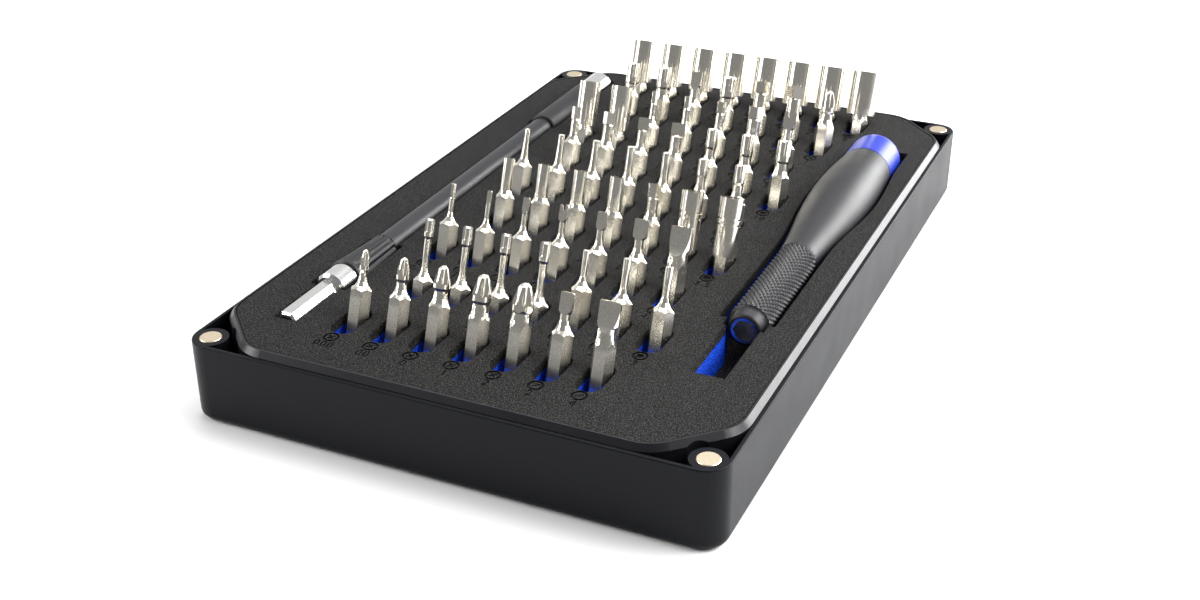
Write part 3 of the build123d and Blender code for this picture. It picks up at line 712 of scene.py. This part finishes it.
# ---- sub-assemblies --------------------------------------------------------------------------------
@dataclass
class CutFoam:
    """One layer of die-cut foam, with rounded edges where the knife went in."""

    node: str
    slot: str
    edge_round: float = 0.12
    fill: float = 1.0

    def build(self, materials: Materials, marks: SeatMarks | None = None) -> bpy.types.Object:
        """Make the layer and hide the plain one.

        Args:
            materials: the finishes by slot.
            marks: what is melted into its top, if anything.

        Returns:
            The layer.
        """
        mesh = self.softened()
        piece = add_piece(f"{self.node}_die_cut", mesh, "case", [materials[self.slot]])
        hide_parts(self.node)
        if marks:
            self.press(piece, marks)
        log.info("foam layer %s: %d faces", self.node, len(piece.data.polygons))
        return piece

    def softened(self) -> bpy.types.Mesh:
        """The layer's solid with its upper edges rounded."""
        sheet = bmesh.new()
        sheet.from_mesh(bpy.data.objects[self.node].data)
        bmesh.ops.remove_doubles(sheet, verts=sheet.verts, dist=SAME_SPOT)
        bmesh.ops.dissolve_limit(
            sheet,
            angle_limit=math.radians(0.5),
            verts=sheet.verts,
            edges=sheet.edges,
            use_dissolve_boundaries=False,
        )
        top = max(vert.co.z for vert in sheet.verts)
        rim = [
            edge
            for edge in sheet.edges
            if all(vert.co.z > top - SAME_SPOT for vert in edge.verts)
            and edge.calc_face_angle(0.0) > math.radians(60)
        ]
        bmesh.ops.bevel(
            sheet, geom=rim, offset=self.edge_round * MM, segments=2, affect="EDGES", clamp_overlap=True
        )
        bmesh.ops.triangulate(sheet, faces=[face for face in sheet.faces if len(face.verts) > 4])
        return mesh_from(sheet, self.node)

    def press(self, piece: bpy.types.Object, marks: SeatMarks) -> None:
        """Cut the marks into the layer and give them their near-black finish, partly their own melted skin
        and partly painted shade of the shallow recess.

        Args:
            piece: the layer.
            marks: the marks.
        """
        cutter_mesh = marks.cutter()
        cutter_mesh.materials.append(MARK_AND_RECESS_SHADE_FINISH.material())
        cutter = bpy.data.objects.new("seat_marks", cutter_mesh)
        bpy.context.scene.collection.objects.link(cutter)
        cut = piece.modifiers.new("marks", "BOOLEAN")
        cut.operation = "DIFFERENCE"
        cut.solver = "EXACT"
        cut.material_mode = "TRANSFER"
        cut.object = cutter
        bpy.context.view_layer.update()
        graph = bpy.context.evaluated_depsgraph_get()
        pressed = bpy.data.meshes.new_from_object(piece.evaluated_get(graph))
        sheet = bmesh.new()
        sheet.from_mesh(pressed)
        finishes = list(pressed.materials)
        piece.modifiers.clear()
        piece.data = mesh_from(sheet, self.node)
        for finish in finishes:
            piece.data.materials.append(finish)
        bpy.data.objects.remove(cutter)


@dataclass
class DriverHandle:
    """Turned handle with a diamond knurl on its grip."""

    nose_r: float = 3.5
    nose_chamfer: float = 0.5
    nose_length: float = 3.0
    grip_r: float = 4.3
    grip_length: float = 30.0
    grip_edge: float = 0.8
    belly_r: float = 7.2
    waist_from_nose: float = 47.2
    belly_from_nose: float = 65.4
    rear_r: float = 6.3
    bore_r: float = 2.72
    bore_depth: float = 13.9
    axle_r: float = 1.5
    axle_depth: float = 11.0
    diamonds_round: int = 26
    diamonds_along: int = 20
    knurl_depth: float = 0.4
    knurl_fade: float = 0.6
    fineness: int = 8

    def build(self, materials: Materials) -> bpy.types.Object:
        """Make the handle and hide the plain one."""
        low, high = node_box("driver_handle")
        socket_low, socket_high = node_box("driver_bit_socket")
        axis = ((socket_low.x + socket_high.x) / 2, (socket_low.z + socket_high.z) / 2)
        self.nose, self.rear = low.y, high.y
        self.grip_start = self.nose + self.nose_length
        self.grip_end = self.grip_start + self.grip_length
        sheet = bmesh.new()
        lathe(sheet, list(self.profile()), axis, self.diamonds_round * self.fineness, self.knurl)
        piece = add_piece(
            "driver_handle_knurled", mesh_from(sheet, "driver_handle_knurled", 50), "driver",
            [materials["grip_coating"]],
        )
        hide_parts("driver_handle")
        log.info("handle: %d faces", len(piece.data.polygons))
        return piece

    def profile(self) -> Iterator[tuple[float, float]]:
        """The handle's outline, from the bottom of its front bore to the bottom of the axle's bore."""
        yield self.nose + self.bore_depth, 0.0
        yield self.nose + self.bore_depth, self.bore_r
        yield self.nose, self.bore_r
        yield self.nose, self.nose_r - self.nose_chamfer
        yield self.nose + self.nose_chamfer, self.nose_r
        yield self.grip_start - self.grip_edge, self.nose_r
        yield self.grip_start, self.grip_r - self.knurl_depth
        steps = self.diamonds_along * self.fineness
        for step in range(1, steps):
            yield self.grip_start + self.grip_length * step / steps, self.grip_r
        yield self.grip_end, self.grip_r
        start = Vector((self.grip_end, self.grip_r))
        middle = Vector((self.nose + self.waist_from_nose, (self.grip_r + self.belly_r) / 2))
        belly = Vector((self.nose + self.belly_from_nose, self.belly_r))
        rear = Vector((self.rear, self.rear_r))
        rise = Vector((14.0, 1.9))
        yield from hermite(start, middle, Vector((14.0, 0.7)), rise, 16)
        yield from hermite(middle, belly, Vector((18.0, 2.4)), Vector((18.0, 0.2)), 20)
        yield from hermite(belly, rear, Vector((19.0, 0.2)), Vector((19.0, -1.5)), 20)
        yield self.rear, self.axle_r
        yield self.rear - self.axle_depth, self.axle_r
        yield self.rear - self.axle_depth, 0.0

    def knurl(self, angle: float, y: float, radius: float) -> float:
        """Depth of the knurl at a point, from two families of helical grooves.

        Args:
            angle: round the handle, in radians.
            y: along it.
            radius: the plain radius there.

        Returns:
            What is added to the radius.
        """
        if radius < self.grip_r - 0.01 or not self.grip_start < y < self.grip_end:
            return 0.0
        turn = self.diamonds_round * angle / math.tau
        run = self.diamonds_along * (y - self.grip_start) / self.grip_length
        height = min(self.ridge(turn + run), self.ridge(turn - run))
        ends = min(y - self.grip_start, self.grip_end - y) / self.knurl_fade
        return -self.knurl_depth * (1 - height) * min(1.0, ends)

    @staticmethod
    def ridge(phase: float) -> float:
        """Height of a row of ridges: 0 in a groove and 1 on a crest, with a flat top."""
        across = abs((phase % 1.0) - 0.5) * 2
        return min(1.0, 1.25 * (1 - across))


@dataclass
class FlutedSleeve:
    """Free-turning sleeve of the flexible extension, with flutes for the fingertips."""

    flutes: int = 10
    front_r: float = 3.8
    rear_r: float = 3.1
    plain: float = 1.2
    flute_depth: float = 0.5
    flute_share: float = 0.72
    bore_r: float = 1.95
    edge: float = 0.35
    fineness: int = 14

    def build(self, materials: Materials) -> bpy.types.Object:
        """Make the sleeve and hide the plain one."""
        low, high = node_box("flex_grip_sleeve")
        self.front, self.rear = low.y, high.y
        core_low, core_high = node_box("flex_core")
        axis = ((core_low.x + core_high.x) / 2, (core_low.z + core_high.z) / 2)
        sheet = bmesh.new()
        lathe(sheet, list(self.profile()), axis, self.flutes * self.fineness, self.flute)
        bmesh.ops.remove_doubles(sheet, verts=sheet.verts, dist=1e-7)
        piece = add_piece(
            "flex_sleeve_fluted", mesh_from(sheet, "flex_sleeve_fluted", 40), "flex_sleeve",
            [materials["grip_coating"]],
        )
        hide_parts("flex_grip_sleeve")
        return piece

    def profile(self) -> Iterator[tuple[float, float]]:
        """Closed outline: front face, chamfer, taper, rear face and bore."""
        yield self.front, self.bore_r
        yield self.front, self.front_r - self.edge
        yield self.front + self.edge, self.front_r
        steps = 24
        for step in range(1, steps):
            share = step / steps
            y = self.front + self.edge + share * (self.rear - self.front - 2 * self.edge)
            yield y, self.front_r + share * (self.rear_r - self.front_r)
        yield self.rear - self.edge, self.rear_r
        yield self.rear, self.rear_r - self.edge
        yield self.rear, self.bore_r
        yield self.front, self.bore_r

    def flute(self, angle: float, y: float, radius: float) -> float:
        """Depth of the flutes at a point.

        Args:
            angle: round the sleeve, in radians.
            y: along it.
            radius: the plain radius there.

        Returns:
            What is added to the radius.
        """
        if radius < self.rear_r - 0.5:
            return 0.0
        start = min(1.0, max(0.0, (y - self.front - self.plain) / 0.5))
        end = min(1.0, max(0.0, (self.rear - y) / 0.8))
        across = abs((self.flutes * angle / math.tau) % 1.0 - 0.5) * 2
        return -self.flute_depth * min(start, end) * max(0.0, 1 - (across / self.flute_share) ** 2)


@dataclass
class PlainNodes:
    """Pieces whose frame shape is already right and which only need their finish."""

    record: dict
    nodes: dict[str, bpy.types.Object]

    def dress(self, materials: Materials) -> None:
        """Give every shown frame node the finish of its slot."""
        for part in self.record["subparts"]:
            shown = self.nodes[part["node"]]
            for holder in shown.material_slots:
                holder.material = materials[part["material_slot"]]
        log.info("finishes on %d frame nodes", len(self.record["subparts"]))


# ---- stage -----------------------------------------------------------------------------------------
@dataclass(frozen=True)
class Softbox:
    """An area light that points at a spot."""

    name: str
    place: Colour
    target: Colour
    size: tuple[float, float]
    power: float
    colour: Colour = (1, 1, 1)

    def hang(self) -> None:
        """Put the light up."""
        lamp = bpy.data.lights.new(self.name, "AREA")
        lamp.shape = "RECTANGLE"
        lamp.size, lamp.size_y = self.size
        lamp.energy = self.power
        lamp.color = self.colour
        holder = bpy.data.objects.new(self.name, lamp)
        bpy.context.scene.collection.objects.link(holder)
        holder.location = self.place
        holder.rotation_mode = "QUATERNION"
        away = Vector(self.place) - Vector(self.target)
        holder.rotation_quaternion = away.to_track_quat("Z", "Y")


@dataclass
class Studio:
    """White sweep, soft light and the camera."""

    camera_place: Colour = (0.12348, -0.28497, 0.16097)
    azimuth: float = 24.46
    elevation: float = 27.91
    roll: float = -0.15
    lens: float = 45.89
    sensor: float = 36.0
    floor_size: float = 3.0
    softboxes: list[Softbox] = field(
        default_factory=lambda: [
            Softbox("rear_softbox", (0.44, 0.62, 0.19), (0.04, 0.0, 0.01), (0.55, 0.3), 6.4),
            Softbox("right_softbox", (0.42, 0.06, 0.34), (0.1, 0.03, 0.0), (0.35, 0.3), 3.6),
            Softbox("top_softbox", (-0.05, 0.25, 0.75), (0.0, 0.0, 0.0), (0.7, 0.5), 3.8),
            Softbox("left_softbox", (-0.5, -0.3, 0.3), (0.0, 0.0, 0.02), (0.25, 0.4), 2.6),
        ]
    )

    def build(self) -> None:
        """Lay the floor, light it and set the camera up."""
        self.floor()
        self.surroundings()
        for box in self.softboxes:
            box.hang()
        self.camera()
        bpy.context.scene.view_settings.view_transform = "Standard"

    def floor(self) -> None:
        """A large white sheet just under the tray."""
        sheet = bmesh.new()
        bmesh.ops.create_grid(sheet, x_segments=8, y_segments=8, size=self.floor_size / 2)
        mesh = bpy.data.meshes.new("floor")
        sheet.to_mesh(mesh)
        sheet.free()
        mesh.materials.append(StagePaper("white_sweep", (0.93, 0.93, 0.93), 0.95).material())
        floor = bpy.data.objects.new("floor", mesh)
        bpy.context.scene.collection.objects.link(floor)

    def surroundings(self) -> None:
        """A white backdrop that lights the set from above and leaves the near side dim."""
        world = bpy.data.worlds.new("studio")
        world.use_nodes = True
        bpy.context.scene.world = world
        tree = world.node_tree
        wire = tree.links.new
        backdrop = tree.nodes["Background"]
        backdrop.inputs["Color"].default_value = (1, 1, 1, 1)
        light = tree.nodes.new("ShaderNodeBackground")
        place = tree.nodes.new("ShaderNodeTexCoord")
        split = tree.nodes.new("ShaderNodeSeparateXYZ")
        wire(place.outputs["Generated"], split.inputs["Vector"])
        ramp = tree.nodes.new("ShaderNodeMapRange")
        ramp.inputs["From Min"].default_value = -0.5
        ramp.inputs["From Max"].default_value = 0.7
        ramp.inputs["To Min"].default_value = 0.3
        ramp.inputs["To Max"].default_value = 1.0
        wire(split.outputs["Y"], ramp.inputs["Value"])
        wire(ramp.outputs["Result"], light.inputs["Strength"])
        path = tree.nodes.new("ShaderNodeLightPath")
        choose = tree.nodes.new("ShaderNodeMixShader")
        wire(path.outputs["Is Camera Ray"], choose.inputs["Fac"])
        wire(light.outputs["Background"], choose.inputs[1])
        wire(backdrop.outputs["Background"], choose.inputs[2])
        wire(choose.outputs["Shader"], tree.nodes["World Output"].inputs["Surface"])

    def camera(self) -> None:
        """Set the camera up at the picture's own angle."""
        camera = bpy.data.cameras.new("camera")
        camera.lens = self.lens
        camera.sensor_width = self.sensor
        camera.clip_start = 0.01
        holder = bpy.data.objects.new("camera", camera)
        bpy.context.scene.collection.objects.link(holder)
        turn, lift = math.radians(self.azimuth), math.radians(self.elevation)
        back = Vector((math.sin(turn) * math.cos(lift), -math.cos(turn) * math.cos(lift), math.sin(lift)))
        holder.location = self.camera_place
        holder.rotation_mode = "QUATERNION"
        upright = (-back).to_track_quat("-Z", "Y")
        tilt = Matrix.Rotation(math.radians(self.roll), 3, "Z").to_quaternion()
        holder.rotation_quaternion = upright @ tilt
        bpy.context.scene.camera = holder


def main() -> None:
    """Build the looks in order: finishes, plain nodes, foam, handle, then the stage."""
    logging.basicConfig(level=logging.INFO, format="%(name)s: %(message)s")
    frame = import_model()
    materials = {slot: finish.material() for slot, finish in FINISHES.items()}
    PlainNodes(frame["record"], frame["nodes"]).dress(materials)
    grid = SeatGrid()
    top = node_box("foam_top_sheet")[1].z
    CutFoam("foam_base_block", "black_foam").build(materials)
    CutFoam("foam_blue_layer", "blue_foam").build(materials)
    CutFoam("foam_top_sheet", "black_foam").build(materials, SeatMarks(grid, top))
    DriverHandle().build(materials)
    FlutedSleeve().build(materials)
    Studio().build()


if __name__ == "__main__":
    main()
